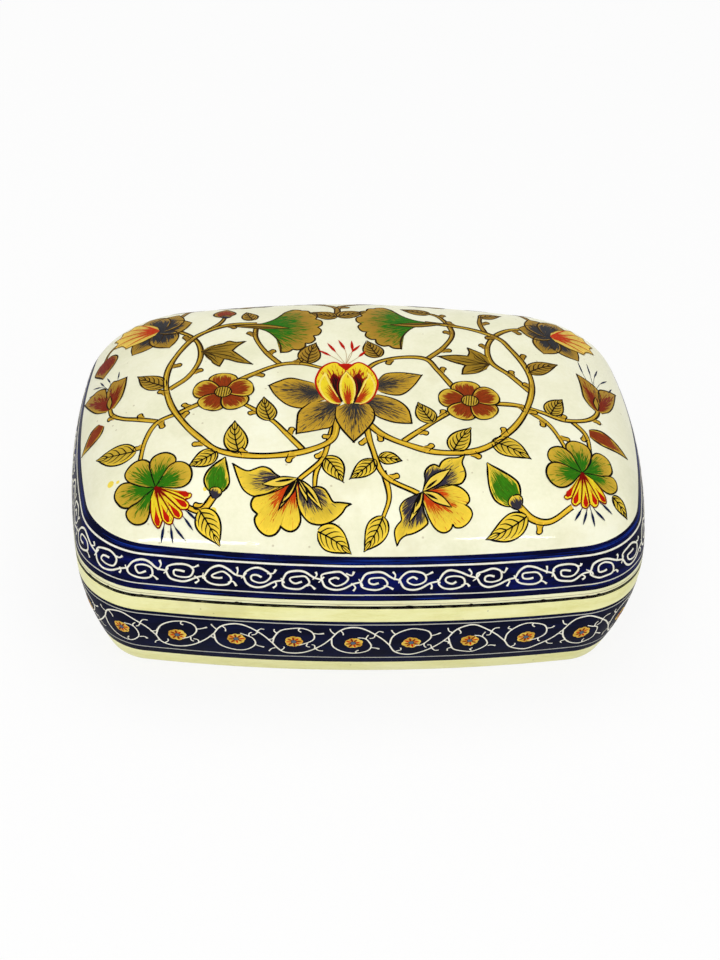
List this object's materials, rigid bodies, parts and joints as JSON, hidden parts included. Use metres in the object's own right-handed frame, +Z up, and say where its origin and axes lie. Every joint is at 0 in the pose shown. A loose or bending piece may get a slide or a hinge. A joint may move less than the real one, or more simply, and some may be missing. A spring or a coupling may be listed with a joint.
{
  "type": "papier mache box",
  "caption": "Pillow-shaped lacquered papier mache box with bowed sides, a tapered tray, an inner locating collar and a lift-off domed lid.",
  "frame": {"origin": "middle of the underside, on the surface that the box stands on", "axes": "+Z up out of the lid, +X along the box's width, -Y towards the viewer at the front"},
  "size_m": [0.152, 0.104, 0.0647],
  "materials": {
    "base_lacquer": "painted papier mache under clear gloss lacquer",
    "collar_lacquer": "pasteboard strip in black satin lacquer",
    "lid_lacquer": "ivory painted papier mache under clear gloss lacquer",
    "gold_paint": "gold paint under clear gloss lacquer"
  },
  "bodies": {
    "base": {"base_shell": "base_lacquer", "rim_collar": "collar_lacquer"},
    "lid": {"lid_shell": "lid_lacquer"}
  },
  "joints": [
    {"name": "lid_lift", "type": "slide", "parent": "base", "child": "lid", "axis": [0, 0, 1], "range_m": [0, 0.1]}
  ]
}
